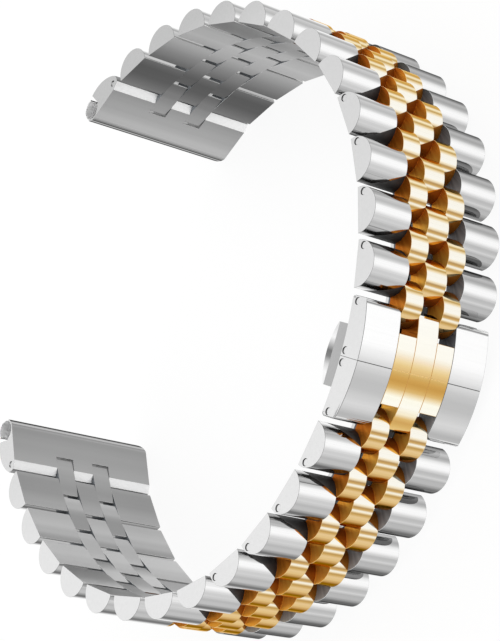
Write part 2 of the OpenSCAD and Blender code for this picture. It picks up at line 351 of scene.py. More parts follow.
# a darker copy in painted shade, for the near narrow links
goldDuskTones = {-2.0: (150, 74, 20), 0.0: (184, 100, 28), 1.6: (222, 140, 50)}
steelShadeTones = {
    -2.3: (60, 63, 66), -0.8: (96, 100, 104), 0.6: (134, 138, 142), 2.0: (168, 172, 176),
}
# tones along a straight path in metres, from its start at 0 to its end at 1
# painted shade on the steel side faces: lighter towards the lower arm, darker towards the upper one
sideShadeTones = {0.05: 231, 0.21: 229, 0.37: 220, 0.61: 215, 0.86: 209, 0.97: 193}
sidePath = ((0.018, -0.024, 0.01), (-0.021, 0.028, 0.01))
plateTones = {0.0: 214, 1.0: 222}
platePath = ((0.03, -0.03, 0.01), (-0.03, 0.03, 0.01))
widthPath = ((0.0, 0.0, 0.0), (0.0, 0.0, 0.02))


def fromScreen(value):
    # a tone from 0 to 255, as the light that it stands for
    tone = value / 255
    return tone / 12.92 if tone <= 0.04045 else ((tone + 0.055) / 1.055) ** 2.4


def colourOf(tone):
    if isinstance(tone, (int, float)):
        tone = (tone, tone, tone)
    return tuple(fromScreen(value) for value in tone) + (1.0,)


def reachStops(tones, reach):
    # tones by a place from -reach to reach, as stops from 0 to 1
    return [(place / reach / 2 + 0.5, tone) for place, tone in tones.items()]


def newGroup(name, inputs, outputs):
    group = bpy.data.node_groups.new(name, "ShaderNodeTree")
    for label, value in inputs.items():
        kind = "NodeSocketFloat" if isinstance(value, float) else "NodeSocketVector"
        socket = group.interface.new_socket(name=label, in_out="INPUT", socket_type=kind)
        socket.default_value = value
    for label in outputs:
        group.interface.new_socket(name=label, in_out="OUTPUT", socket_type="NodeSocketFloat")
    return group, group.nodes.new("NodeGroupInput"), group.nodes.new("NodeGroupOutput")


def mathNode(tree, operation, first, second=None, third=None):
    node = tree.nodes.new("ShaderNodeMath")
    node.operation = operation
    for socket, value in zip(node.inputs, (first, second, third)):
        if isinstance(value, (int, float)):
            socket.default_value = value
        elif value is not None:
            tree.links.new(value, socket)
    return node.outputs[0]


def vectorNode(tree, operation, first, second, socket=1):
    node = tree.nodes.new("ShaderNodeVectorMath")
    node.operation = operation
    tree.links.new(first, node.inputs[0])
    if isinstance(second, Vector):
        node.inputs[socket].default_value = second
    else:
        tree.links.new(second, node.inputs[socket])
    return node


def shineParts(tree):
    # the two numbers of the map "shine"
    shine = tree.nodes.new("ShaderNodeUVMap")
    shine.uv_map = "shine"
    parts = tree.nodes.new("ShaderNodeSeparateXYZ")
    tree.links.new(shine.outputs["UV"], parts.inputs[0])
    return parts.outputs[0], parts.outputs[1]


def lineNoise(tree, place, detail):
    # noise from 0 to 1 by one number
    noise = tree.nodes.new("ShaderNodeTexNoise")
    noise.noise_dimensions = "1D"
    noise.inputs["Scale"].default_value = 1
    noise.inputs["Detail"].default_value = detail
    tree.links.new(place, noise.inputs["W"])
    return noise.outputs[0]


polishLook = {
    "drift": 0.004,  # how far the lines bend the bands, in turns round the strap
    "stretch": (1.0, 1.0, 0.1), "brush": 1500.0,
    "tone": (0.94, 1.05),  # darkest and lightest share of the tone
    "rough": (0.8, 1.2),  # least and most share of the roughness
    "bump": 0.02,
}
coverLook = {
    "stretch": (1.0, 1.0, 0.03), "brush": 4000.0, "tone": (0.97, 1.03), "rough": (0.8, 1.2),
    "bump": 0.02,
}
satinLook = {
    "stretch": (1.0, 1.0, 1.0), "brush": 2500.0, "tone": (0.96, 1.04), "rough": (0.85, 1.15),
    "bump": 0.03,
}
wedgeLook = {
    "stretch": (0.3, 1.0, 1.0), "brush": 1400.0, "grain": 0.5, "rough": (0.8, 1.3),
    "bump": 0.015,
}
fanLook = {
    "brush": 1400.0, "rough": (0.8, 1.3), "bump": 0.015, "streaks": 5.0,
    "streak": 0.7,  # how far the streaks shift the tones, as a share of their reach
    "reach": 2.5,
    "down": (0.5, -0.87),  # the way down the picture, in X and Y
    "corner": (-1.1, 1.9),  # where the streaks start, in X and Y from the link's middle
}
grainDepth = 0.00002  # metres


def makePolishLines():
    # where the surface faces, which places the painted reflection bands, with faint lines that
    # run along the bar
    inputs = {"Lines": 90.0, "Drift": polishLook["drift"]}
    group, given, made = newGroup("polishLines", inputs, ["Around", "Streak"])
    around = shineParts(group)[0]
    streak = lineNoise(group, mathNode(group, "MULTIPLY", around, given.outputs["Lines"]), 2)
    offset = mathNode(group, "SUBTRACT", streak, 0.5)
    drift = mathNode(group, "MULTIPLY", offset, given.outputs["Drift"])
    moved = mathNode(group, "ADD", around, drift)
    group.links.new(mathNode(group, "FRACT", moved), made.inputs["Around"])
    group.links.new(streak, made.inputs["Streak"])
    return group


def makeBrushing():
    # fine brushed lines: grain and slower clouds from 0 to 1, pulled as the stretch says
    inputs = {"Stretch": (1.0, 1.0, 1.0), "Scale": 900.0}
    group, given, made = newGroup("brushing", inputs, ["Grain", "Cloud"])
    place = group.nodes.new("ShaderNodeTexCoord").outputs["Object"]
    pull = vectorNode(group, "MULTIPLY", place, given.outputs["Stretch"])
    for label, share, detail in (("Grain", 1.0, 4), ("Cloud", 0.12, 2)):
        noise = group.nodes.new("ShaderNodeTexNoise")
        noise.inputs["Detail"].default_value = detail
        group.links.new(pull.outputs[0], noise.inputs["Vector"])
        scale = mathNode(group, "MULTIPLY", given.outputs["Scale"], share)
        group.links.new(scale, noise.inputs["Scale"])
        group.links.new(noise.outputs[0], made.inputs[label])
    return group


def makeFan():
    # for side faces: how far down the picture in millimetres, which sets their painted shade, and
    # streaks that spread from the upper wrist corner
    group, given, made = newGroup("fan", {"Streaks": fanLook["streaks"]}, ["Down", "Streak"])
    outward, upward = [
        mathNode(group, "MULTIPLY_ADD", part, sideMap, -sideMap / 2) for part in shineParts(group)
    ]
    share = mathNode(group, "MULTIPLY", outward, fanLook["down"][0])
    down = mathNode(group, "MULTIPLY_ADD", upward, fanLook["down"][1], share)
    group.links.new(down, made.inputs["Down"])
    fromCorner = mathNode(group, "SUBTRACT", outward, fanLook["corner"][0])
    aboveCorner = mathNode(group, "SUBTRACT", upward, fanLook["corner"][1])
    angle = mathNode(group, "ARCTAN2", aboveCorner, fromCorner)
    streak = lineNoise(group, mathNode(group, "MULTIPLY", angle, given.outputs["Streaks"]), 3)
    group.links.new(streak, made.inputs["Streak"])
    return group


polishLines = makePolishLines()
brushing = makeBrushing()
fan = makeFan()


def startMaterial(name, metallic=1.0, edgeTone=255):
    # the edge tone is what a surface keeps where it is seen almost from the side
    material = bpy.data.materials.new(name)
    material.use_nodes = True
    tree = material.node_tree
    shader = tree.nodes["Principled BSDF"]
    shader.inputs["Metallic"].default_value = metallic
    shader.inputs["Specular Tint"].default_value = colourOf(edgeTone)
    return material, tree, shader


def addGroup(tree, group, **values):
    node = tree.nodes.new("ShaderNodeGroup")
    node.node_tree = group
    for label, value in values.items():
        node.inputs[label].default_value = value
    return node


def addRamp(tree, place, stops):
    # stops: place from 0 to 1 and tone
    node = tree.nodes.new("ShaderNodeValToRGB")
    elements = node.color_ramp.elements
    stops = sorted(stops)
    for element, (spot, tone) in ((elements[0], stops[0]), (elements[1], stops[-1])):
        element.position = spot
        element.color = colourOf(tone)
    for spot, tone in stops[1:-1]:
        elements.new(spot).color = colourOf(tone)
    tree.links.new(place, node.inputs[0])
    return node.outputs[0]


def spread(tree, value, low, high):
    # turns a mask from 0 to 1 into a value from low to high
    node = tree.nodes.new("ShaderNodeMapRange")
    node.inputs["To Min"].default_value = low
    node.inputs["To Max"].default_value = high
    tree.links.new(value, node.inputs["Value"])
    return node.outputs[0]


def shiftTone(tree, colour, mask, look):
    # makes a colour a little darker and lighter by a mask
    factor = spread(tree, mask, *look["tone"])
    return vectorNode(tree, "SCALE", colour, factor, "Scale").outputs[0]


def dressShader(tree, shader, colour, brushed, rough, look):
    # the colour, a roughness that drifts in clouds, and the grain as a fine bump
    least, most = look["rough"]
    tree.links.new(colour, shader.inputs["Base Color"])
    cloud = spread(tree, brushed.outputs["Cloud"], rough * least, rough * most)
    tree.links.new(cloud, shader.inputs["Roughness"])
    bump = tree.nodes.new("ShaderNodeBump")
    bump.inputs["Strength"].default_value = look["bump"]
    bump.inputs["Distance"].default_value = grainDepth
    tree.links.new(brushed.outputs["Grain"], bump.inputs["Height"])
    tree.links.new(bump.outputs[0], shader.inputs["Normal"])


def makePaintedReflection(name, tones, rough, lines, edgeTone):
    # polished metal with painted reflection bands, whose tone follows the way that the surface faces
    material, tree, shader = startMaterial(name, edgeTone=edgeTone)
    around = addGroup(tree, polishLines, Lines=lines, Drift=polishLook["drift"])
    brushed = addGroup(tree, brushing, Stretch=polishLook["stretch"], Scale=polishLook["brush"])
    tone = addRamp(tree, around.outputs["Around"], reachStops(tones, 180))
    colour = shiftTone(tree, tone, around.outputs["Streak"], polishLook)
    dressShader(tree, shader, colour, brushed, rough, polishLook)
    return material


def makeCoverPaintedReflection(name, tones, rough):
    # mirror-polished metal with painted reflection bands, whose tone follows the place up the clasp
    material, tree, shader = startMaterial(name)
    place = tree.nodes.new("ShaderNodeTexCoord").outputs["Object"]
    parts = tree.nodes.new("ShaderNodeSeparateXYZ")
    tree.links.new(place, parts.inputs[0])
    share = mathNode(tree, "MULTIPLY_ADD", parts.outputs[1], 0.5 / (claspReach * unit), 0.5)
    brushed = addGroup(tree, brushing, Stretch=coverLook["stretch"], Scale=coverLook["brush"])
    tone = addRamp(tree, share, reachStops(tones, claspReach))
    colour = shiftTone(tree, tone, brushed.outputs["Grain"], coverLook)
    dressShader(tree, shader, colour, brushed, rough, coverLook)
    return material


def makeSatin(name, tones, rough, path=widthPath, stretch=satinLook["stretch"]):
    # satin faces whose tone changes slowly along a straight path
    material, tree, shader = startMaterial(name)
    start, end = Vector(path[0]), Vector(path[1])
    reach = end - start
    place = tree.nodes.new("ShaderNodeTexCoord").outputs["Object"]
    along = vectorNode(tree, "SUBTRACT", place, start).outputs[0]
    dot = vectorNode(tree, "DOT_PRODUCT", along, reach / reach.length_squared)
    brushed = addGroup(tree, brushing, Stretch=stretch, Scale=satinLook["brush"])
    tone = addRamp(tree, dot.outputs["Value"], list(tones.items()))
    colour = shiftTone(tree, tone, brushed.outputs["Grain"], satinLook)
    dressShader(tree, shader, colour, brushed, rough, satinLook)
    return material


def makeShaded(name, dark, light, reach, rough, metallic, edgeTone):
    # a painted dark reflection, the wedge on a flank: a tone for each end of its reach across the
    # strap, in millimetres from the mid-plane
    material, tree, shader = startMaterial(name, metallic, edgeTone)
    brushed = addGroup(tree, brushing, Stretch=wedgeLook["stretch"], Scale=wedgeLook["brush"])
    span = reach[1] - reach[0]
    share = mathNode(
        tree, "MULTIPLY_ADD", shineParts(tree)[1], centimetre / unit / span, -reach[0] / span
    )
    width = wedgeLook["grain"]
    grain = mathNode(tree, "MULTIPLY_ADD", brushed.outputs["Grain"], width, -width / 2)
    colour = addRamp(tree, mathNode(tree, "ADD", share, grain), [(0, dark), (1, light)])
    dressShader(tree, shader, colour, brushed, rough, wedgeLook)
    return material


def makeFanned(name, tones, rough, metallic, edgeTone):
    # side faces between the columns, in painted shade that darkens up the picture, with soft streaks
    material, tree, shader = startMaterial(name, metallic, edgeTone)
    spreading = addGroup(tree, fan, Streaks=fanLook["streaks"])
    brushed = addGroup(tree, brushing, Scale=fanLook["brush"])
    width = fanLook["streak"]
    streak = mathNode(tree, "MULTIPLY_ADD", spreading.outputs["Streak"], width, -width / 2)
    share = mathNode(tree, "MULTIPLY_ADD", spreading.outputs["Down"], 0.5 / fanLook["reach"], 0.5)
    shifted = mathNode(tree, "ADD", share, streak)
    colour = addRamp(tree, shifted, reachStops(tones, fanLook["reach"]))
    dressShader(tree, shader, colour, brushed, rough, fanLook)
    return material


# painted reflection: the tones of these polished materials stand in for the bands that the metal mirrors
steelPaintedReflection = makePaintedReflection("steelPaintedReflection", steelReflectionTones, 0.06, 90.0, 255)
# the far bars' painted reflection, darker on the steep flanks
steelFarPaintedReflection = makePaintedReflection("steelFarPaintedReflection", farReflectionTones, 0.06, 90.0, 120)
steelRollPaintedReflection = makePaintedReflection("steelRollPaintedReflection", rollReflectionTones, 0.1, 90.0, 150)
goldPaintedReflection = makePaintedReflection("goldPaintedReflection", goldReflectionTones, 0.06, 110.0, (236, 206, 150))
wristSteel = makePaintedReflection("wristSteel", wristReflectionTones, 0.3, 120.0, 255)
# painted reflection bands on the covers and on the button rims, by the place up the clasp
coverSteel = makeCoverPaintedReflection("coverSteel", coverSteelReflectionTones, 0.08)
coverGold = makeCoverPaintedReflection("coverGold", coverGoldReflectionTones, 0.08)
buttonRim = makeCoverPaintedReflection("buttonRim", buttonRimReflectionTones, 0.12)
# the steel side faces, in painted shade that darkens towards the upper arm
steelSide = makeSatin("steelSide", sideShadeTones, 0.25, sidePath)
# painted reflection on the rims: dark round the near side faces, light on the inner rims and cream on the gold
capRim = makeSatin("capRim", {0.0: 92, 1.0: 98}, 0.25)
innerRim = makeSatin("innerRim", {0.0: 235, 1.0: 240}, 0.15)
goldRim = makeSatin("goldRim", {0.0: (250, 218, 150), 1.0: (252, 224, 160)}, 0.4)
grooveGold = makeSatin("grooveGold", {0.0: (206, 160, 88), 1.0: (212, 168, 96)}, 0.2)
seamSteel = makeSatin("seamSteel", {0.0: 134, 1.0: 138}, 0.35)
# painted shade: the buttons' flat faces are darker than the other side faces
buttonSide = makeSatin("buttonSide", {0.0: 176, 1.0: 180}, 0.25)
plateBack = makeSatin("plateBack", {0.0: 84, 1.0: 92}, 0.4)
# painted shade on the walls of the pin holes
holeShade = makeSatin("holeShade", {0.0: 84, 1.0: 88}, 0.3)
# painted light: the bore of an end link and its hinge facet, as if lit white
boreHighlight = makeSatin("boreHighlight", {0.0: 254, 1.0: 254}, 0.6)
brushedPlate = makeSatin("brushedPlate", plateTones, 0.28, platePath, (1.0, 1.0, 0.06))
springWire = makeSatin("springWire", {0.0: 120, 1.0: 120}, 0.2)
# painted dark reflections: the wedges on the flanks beside the next column
steelWedgeReflection = makeShaded("steelWedgeReflection", 48, 112, (3.8, 7.6), 0.4, 0.4, 80)
goldWedgeReflection = makeShaded(
    "goldWedgeReflection", (124, 68, 20), (158, 98, 34), (0.0, 4.0), 0.36, 0.6, (142, 84, 28)
)
# painted shade on the side faces between the columns, darker up the picture
steelShaded = makeFanned("steelShaded", steelShadeTones, 0.4, 0.4, 112)
goldShaded = makeFanned("goldShaded", goldShadeTones, 0.34, 0.7, (196, 116, 38))
goldDusk = makeFanned("goldDusk", goldDuskTones, 0.34, 0.7, (186, 104, 32))
print("materials made")

# links

# millimetres, and degrees for angles
link = {
    "radius": 2.48, "arcSteps": 128,
    "lift": 0.15,  # how far the centre of the round face lies above the wrist face
    "pinHeight": 0.85,  # and how far the pins do
    "edge": 0.11, "goldEdge": 0.06,
    "outerRows": 8,  # rows and pairs, counted from the clasp, that show gold in the slots
    "outerGoldFrom": -0.6,  # height above the pins at which the gold starts, on those
    "wristGoldFrom": 1.1,  # and on the rest
    # the wedge is the painted dark reflection on a flank
    "wedge": (36, 80, 3.0),  # degrees from the crown at its two ends, and length along the bar
    "pinRadius": 0.37, "pinSteps": 40, "pinEdge": 0.03,
    "holeRadius": 0.4, "holeSteps": 48, "holeDepth": 0.6, "holeRim": 0.02,
    "holeFace": 0.95,  # a face that looks more squarely out of the hole isn't its wall
    "pinSink": 0.1,  # how deep the end of a pin lies in an open hole
    "pinCap": 0.9,  # and behind a closed face
    "looseRows": 4,  # rows, counted from the clasp, with an open hole
    "centre": 1.42, "narrow": (1.43, 3.82), "outer": 3.84,  # the columns' side faces
}


def pinsOf(arm, first, second):
    # the piece is set at the first pin and its own Y runs to the second one, up the picture
    start, end = hinges[first], hinges[second]
    return (start, end) if arm == "upper" else (end, start)


def turnOf(start, end):
    return math.atan2(start.x - end.x, end.y - start.y)


def roundBar(span, low, high):
    # a bar with a round outer face and a flat wrist face, with its pins at y = 0 and y = span
    place = (link["lift"] - link["pinHeight"], span / 2, (low + high) / 2)
    piece = addBar(place, link["radius"], high - low, link["arcSteps"])
    cutAway(piece, (-link["pinHeight"], 0, 0), (-1, 0, 0))
    return piece


def pinHole(x, y, face):
    return addBar((x, y, face), link["holeRadius"], 2 * link["holeDepth"], link["holeSteps"])


def isHoleWall(normal, centre, spot):
    # the wall of a pin hole, not its floor or the side face round it
    fromHole = (centre.xy - Vector(spot)).length
    return fromHole < link["holeRadius"] + link["holeRim"] and normal.z < link["holeFace"]


def pinRod(x, y, low, high):
    rod = addBar((x, y, (low + high) / 2), link["pinRadius"], high - low, link["pinSteps"])

    def choose(normal, _):
        return steelSide if abs(normal.z) > flatFace else steelPaintedReflection

    paintFaces(rod, [steelPaintedReflection, steelSide], choose)
    softenEdges(rod, link["pinEdge"], 2)
    return rod


def scoreWedges(bar, span, end):
    # the painted dark reflection, a wedge, that each flank shows beside the next column: a plane
    # for each flank, from the wedge's height on the bar at this end to where it runs out
    topAngle, lowAngle, reach = link["wedge"]
    planes = []
    for side in (-1, 1):
        spots = []
        for angle, rise in ((topAngle, 0), (lowAngle, reach)):
            turn = math.radians(angle)
            across = link["radius"] * math.sin(turn) * side
            height = link["lift"] - link["pinHeight"] + link["radius"] * math.cos(turn)
            spots.append(Vector((height, span / 2 + across, end + rise)))
        middleTurn = math.radians((topAngle + lowAngle) / 2)
        outward = Vector((math.cos(middleTurn), side * math.sin(middleTurn), 0))
        normal = (spots[1] - spots[0]).cross(outward).normalized()
        if normal.x > 0:
            normal = -normal
        scoreLine(bar, spots[0], normal)
        planes.append((spots[0], normal, side))
    return planes


def inWedge(centre, planes, span):
    for place, across, side in planes:
        if (centre - place).dot(across) > 0 and (centre.y - span / 2) * side > 0:
            return True
    return False


def steelBar(span, outerTop, domeReflection, holeAt, wedged):
    bar = roundBar(span, link["outer"], outerTop)
    planes = scoreWedges(bar, span, link["outer"]) if wedged else []
    if holeAt is not None:
        carve(bar, pinHole(0, holeAt, outerTop))
    softenEdges(bar, link["edge"])

    def choose(normal, centre):
        if normal.x < -flatFace:
            return wristSteel
        # the wall of an open pin hole is in painted shade
        if holeAt is not None and isHoleWall(normal, centre, (0, holeAt)):
            return holeShade
        if abs(normal.z) > flatFace:
            return steelSide if normal.z > 0 else steelShaded
        if abs(normal.z) > rimFace:
            return capRim if normal.z > 0 else innerRim
        return steelWedgeReflection if inWedge(centre, planes, span) else domeReflection

    finishes = [
        domeReflection, steelSide, steelShaded, capRim, innerRim, steelWedgeReflection, wristSteel, holeShade,
    ]
    paintFaces(bar, finishes, choose)
    return bar


def goldBar(span, low, high, onOuterRow, shade):
    # gold above, bare steel on and near the wrist
    bar = roundBar(span, low, high)
    goldFrom = link["outerGoldFrom"] if onOuterRow else link["wristGoldFrom"]
    planes = scoreWedges(bar, span, low) if onOuterRow else []
    scoreLine(bar, (goldFrom, 0, 0), (1, 0, 0))
    softenEdges(bar, link["goldEdge"])

    def choose(normal, centre):
        isSteel = centre.x < goldFrom
        if normal.x < -flatFace:
            return wristSteel
        # side faces take painted shade: gold where it shows on the outer rows, steel elsewhere
        if abs(normal.z) > flatFace:
            return shade if onOuterRow and not isSteel else steelShaded
        if isSteel:
            return steelPaintedReflection
        if abs(normal.z) > rimFace:
            return goldRim
        return goldWedgeReflection if inWedge(centre, planes, span) else goldPaintedReflection

    finishes = [goldPaintedReflection, shade, goldRim, steelPaintedReflection, steelShaded, wristSteel, goldWedgeReflection]
    paintFaces(bar, finishes, choose)
    return bar


def halfWidth(node):
    low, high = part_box(node)
    return (high.z - low.z) / 2 / unit


acrossStrap = (1, 1, -1)
downStrap = (1, -1, 1)


def buildRows():
    start, end = hinges["upper_row_01_turn"], hinges["upper_pair_02_turn"]
    span = (end - start).length / unit
    outerTop = halfWidth("upper_row_01")
    nearBars = {
        kind: steelBar(span, outerTop, steelPaintedReflection, holeAt, kind != "wrist")
        for kind, holeAt in (("upper", span), ("lower", 0), ("closed", None), ("wrist", None))
    }
    farBar = steelBar(span, outerTop, steelFarPaintedReflection, None, False)
    half = link["centre"]
    outerCentre = goldBar(span, -half, half, True, goldShaded)
    wristCentre = goldBar(span, -half, half, False, goldShaded)
    waist = (link["outer"] + outerTop) / 2
    for arm in arms:
        for number in range(1, rowCount + 1):
            name = "%s_row_%02d" % (arm, number)
            start, end = pinsOf(arm, name + "_turn", "%s_pair_%02d_turn" % (arm, number + 1))
            half = halfWidth(name)
            onOuterRow = number <= link["outerRows"]
            kind = arm if number <= link["looseRows"] else "closed" if onOuterRow else "wrist"
            near = twinOf(nearBars[kind], name + "_near")
            far = twinOf(farBar, name + "_far")
            if half - outerTop > slack:
                for bar in (near, far):
                    movePoints(bar, lambda spot: spot.z > waist, (0, 0, half - outerTop))
            mirrorPiece(far, acrossStrap)
            rods = []
            openAt = span if arm == "upper" else 0
            for y in (0, span):
                isOpen = number <= link["looseRows"] and y == openAt
                top = half - (link["pinSink"] if isOpen else link["pinCap"])
                rods.append(pinRod(0, y, link["pinCap"] - half, top))
            steel = fuse([near, far] + rods, name + "_steel")
            gold = twinOf(outerCentre if onOuterRow else wristCentre, name + "_gold")
            for piece, finish in ((steel, "steel"), (gold, "gold")):
                setInPlace(piece, start, turnOf(start, end))
                finishPiece(piece, name, [name], (start + end) / 2)
    for bar in list(nearBars.values()) + [outerCentre, wristCentre, farBar]:
        bpy.data.objects.remove(bar)


def buildPairs():
    start, end = hinges["upper_pair_02_turn"], hinges["upper_row_02_turn"]
    span = (end - start).length / unit
    low, high = link["narrow"]
    bars = []
    for onOuterRow in (True, False):
        near = goldBar(span, low, high, onOuterRow, goldDusk)
        far = goldBar(span, -high, -low, onOuterRow, goldShaded)
        bars.append(fuse([near, far], "narrowPair"))
    for arm in arms:
        for number in range(1, rowCount + 2):
            name = "%s_pair_%02d" % (arm, number)
            following = "%s_row_%02d" % (arm, number) if number <= rowCount else arm + "_end_link"
            start, end = pinsOf(arm, name + "_turn", following + "_turn")
            piece = twinOf(bars[0 if number <= link["outerRows"] else 1], name + "_links")
            setInPlace(piece, start, turnOf(start, end))
            finishPiece(piece, name, [name], (start + end) / 2)
    for bar in bars:
        bpy.data.objects.remove(bar)


buildRows()
print("rows of links made")
buildPairs()
print("narrow links made")

# covers of the clasp

# millimetres: X is the height above the wrist face at the seam, Y runs up the clasp from it
cover = {
    "top": 2.75, "outRadius": 18.0, "inRadius": 38.0, "arcSteps": 720, "innerSteps": 1024,
    "seam": 0.001, "end": 6.2, "slotEnd": 3.63,
    "corner": (0.8, 1.6), "prongCorner": (0.7, 0.9),
    "cornerCuts": (9, 6),  # steps of a quarter turn at an outer corner and at a prong's
    "endRound": 0.45,
    "crownCuts": (28, 90, 10),  # first angle, end and step in degrees
    "wristCuts": (100, 171, 10),
    "edge": 0.05, "blockEdge": 0.09, "seamLine": 0.05, "seamFace": 0.99, "crownFace": 0.93,
    "pocket": (3.1, 2.05, 1.29),  # half its width, its height and how far it runs from the seam
    "spare": 2.0,  # how far tools and blanks run past the piece
    "seamPin": (0.5, 0.62), "outerPin": (0.428, 5.65), "holesAbove": 7,
}
pinSpots = (cover["seamPin"], cover["outerPin"])


def coverStrip(low, high, end):
    # one column of a cover, cut from a round bar
    width, centre, spare = high - low, (low + high) / 2, cover["spare"]
    place = (cover["top"] - cover["outRadius"], 0, centre)
    piece = addBar(place, cover["outRadius"], width, cover["arcSteps"])
    cutAway(piece, (0, cover["seam"], 0), (0, -1, 0))
    cutAway(piece, (0, end, 0), (0, 1, 0))
    cutAway(piece, (-spare, 0, 0), (-1, 0, 0))
    radius = cover["inRadius"]
    carve(piece, addBar((-radius, 0, centre), radius, width + spare, cover["innerSteps"]))
    return piece


def roundCorner(piece, corner, side, sizes, steps):
    # rounds an upright corner by cuts along an ellipse: corner and sizes are (y, z)
    deep, wide = sizes
    for step in range(1, steps):
        turn = math.radians(90 * step / steps)
        y = corner[0] - deep * (1 - math.sin(turn))
        z = corner[1] + side * wide * (math.cos(turn) - 1)
        outward = Vector((0, math.sin(turn) / deep, side * math.cos(turn) / wide))
        cutAway(piece, (0, y, z), outward.normalized())


def roundEnd(piece):
    # rounds the two long edges of the far end, the one on the crown and the one on the wrist
    radius, inRadius, outRadius = cover["endRound"], cover["inRadius"], cover["outRadius"]
    rise = cover["end"] - radius
    crown = cover["top"] - outRadius + math.sqrt((outRadius - radius) ** 2 - rise ** 2)
    wrist = -inRadius + math.sqrt((inRadius + radius) ** 2 - rise ** 2)
    for height, angles in ((crown, cover["crownCuts"]), (wrist, cover["wristCuts"])):
        for angle in range(*angles):
            turn = math.radians(angle)
            outward = Vector((math.cos(turn), math.sin(turn), 0))
            cutAway(piece, Vector((height, rise, 0)) + outward * radius, outward)


def steelCoverFinish(normal, centre):
    isHole = any(isHoleWall(normal, centre, spot) for spot in pinSpots)
    if isHole and centre.z > cover["holesAbove"]:
        return holeShade
    if abs(normal.z) > flatFace:
        return steelSide if normal.z > 0 else steelShaded
    if centre.y < cover["seam"] + cover["seamLine"] and normal.y > -cover["seamFace"]:
        return seamSteel
    if abs(normal.z) > rimFace:
        return capRim
    return coverSteel if normal.x > cover["crownFace"] else steelPaintedReflection


def goldCoverFinish(normal, centre):
    if abs(normal.z) > flatFace:
        return goldShaded
    if centre.y < cover["seam"] + cover["edge"] and normal.y > -cover["seamFace"]:
        return goldRim
    if abs(normal.z) > rimFace:
        return grooveGold
    # the end wall of a slot takes the steel side faces' painted shade
    if abs(centre.z) > link["centre"] and centre.y > cover["slotEnd"] - cover["edge"]:
        return steelShaded if normal.y > flatFace else grooveGold
    return coverGold if normal.x > cover["crownFace"] else goldPaintedReflection


def makeCoverParts(half):
    # edges are softened before the corners are rounded, because tiny facets would hold them back
    end = cover["end"]
    outer = coverStrip(link["outer"], half, end)
    softenEdges(outer, cover["blockEdge"])
    roundCorner(outer, (end, link["outer"]), -1, cover["corner"], cover["cornerCuts"][0])
    roundEnd(outer)
    near = twinOf(outer, "nearBlock")
    for x, y in pinSpots:
        carve(near, pinHole(x, y, half))
    centre = coverStrip(-link["centre"], link["centre"], end)
    narrow = coverStrip(link["centre"], link["outer"], cover["slotEnd"])
    reach, height, depth = cover["pocket"]
    spare = cover["spare"]
    for strip in (centre, narrow):
        bpy.ops.mesh.primitive_cube_add(
            size=1, location=(height - spare, 0, 0), scale=(2 * spare, 2 * depth, 2 * reach)
        )
        bpy.ops.object.transform_apply()
        carve(strip, bpy.context.object)
        softenEdges(strip, cover["edge"])
    for side in (-1, 1):
        corner = (end, side * link["centre"])
        roundCorner(centre, corner, side, cover["prongCorner"], cover["cornerCuts"][1])
    roundEnd(centre)
    for piece in (outer, near, centre):
        flattenShading(piece)
    return outer, near, centre, narrow


def buildCovers():
    half = halfWidth("upper_cover")
    outer, near, centre, narrow = makeCoverParts(half)
    steels = [coverSteel, steelSide, capRim, seamSteel, steelPaintedReflection, steelShaded, holeShade]
    for block in (outer, near):
        paintFaces(block, steels, steelCoverFinish)
    golds = [coverGold, goldShaded, goldRim, grooveGold, goldPaintedReflection, steelShaded]
    for strip in (centre, narrow):
        paintFaces(strip, golds, goldCoverFinish)
    mirrorPiece(outer, acrossStrap)
    farNarrow = twinOf(narrow, "farNarrow")
    mirrorPiece(farNarrow, acrossStrap)
    low, high = link["pinCap"] - half, half - link["pinSink"]
    rods = [pinRod(x, y, low, high) for x, y in pinSpots]
    steelBlocks = fuse([near, outer] + rods, "steelBlocks")
    goldStrips = fuse([centre, narrow, farNarrow], "goldStrips")
    # the wrist face at the seam lies where the seam pin's height says
    seat = hinges["upper_cover_turn"].x - cover["seamPin"][0] * unit
    for arm in arms:
        name = arm + "_cover"
        for part, finish in ((steelBlocks, "steel"), (goldStrips, "gold")):
            piece = twinOf(part, name + "_" + finish)
            if arm == "lower":
                mirrorPiece(piece, downStrap)
            setInPlace(piece, Vector((seat, 0, middle)), 0)
            finishPiece(piece, name, [name])
    for part in (steelBlocks, goldStrips):
        bpy.data.objects.remove(part)


buildCovers()
print("covers made")

# end links, blades, base and buttons, refined from the frame's own solids

refining = {
    "merge": 0.0005,  # millimetres between points that become one
    "flat": 0.5,  # degrees between faces that become one
    "edgeAngle": 35,
}
# millimetres, degrees, and shares of a normal for the faces
endLink = {
    "heading": 144.5,
    "boreRadius": 1.22, "boreSteps": 96, "boreLength": 30, "boreRim": 0.03,
    "shell": (1.5, 3.4),  # side faces this close to the bore and this far from the pin count as bore
    "edge": 0.07, "middle": 2.4,
    "hingeCut": (0.85, 0.27, 24),  # towards the wrist, along the strap, and its slope
    "tongueEnd": 6.1, "farCorner": 1.5, "nearCorner": 0.4, "cornerCuts": (18, 36, 54, 72),
    "hingeFace": 0.98, "wristFace": 0.97, "seamFace": 0.45,
}
clasp = {
    "width": 0.4,  # of the solids' width, so that no plate shows between the links
    "edge": 0.05, "backFace": 0.5,
}
button = {
    "flatSide": 26.824, "gap": 0.03, "halfLength": 3.25, "slices": 8,
    "rimFrom": 1.15, "rimSlope": 14, "edge": 0.05, "face": 8.4,
    "rimFace": 0.995, "sideFace": 0.97,
}


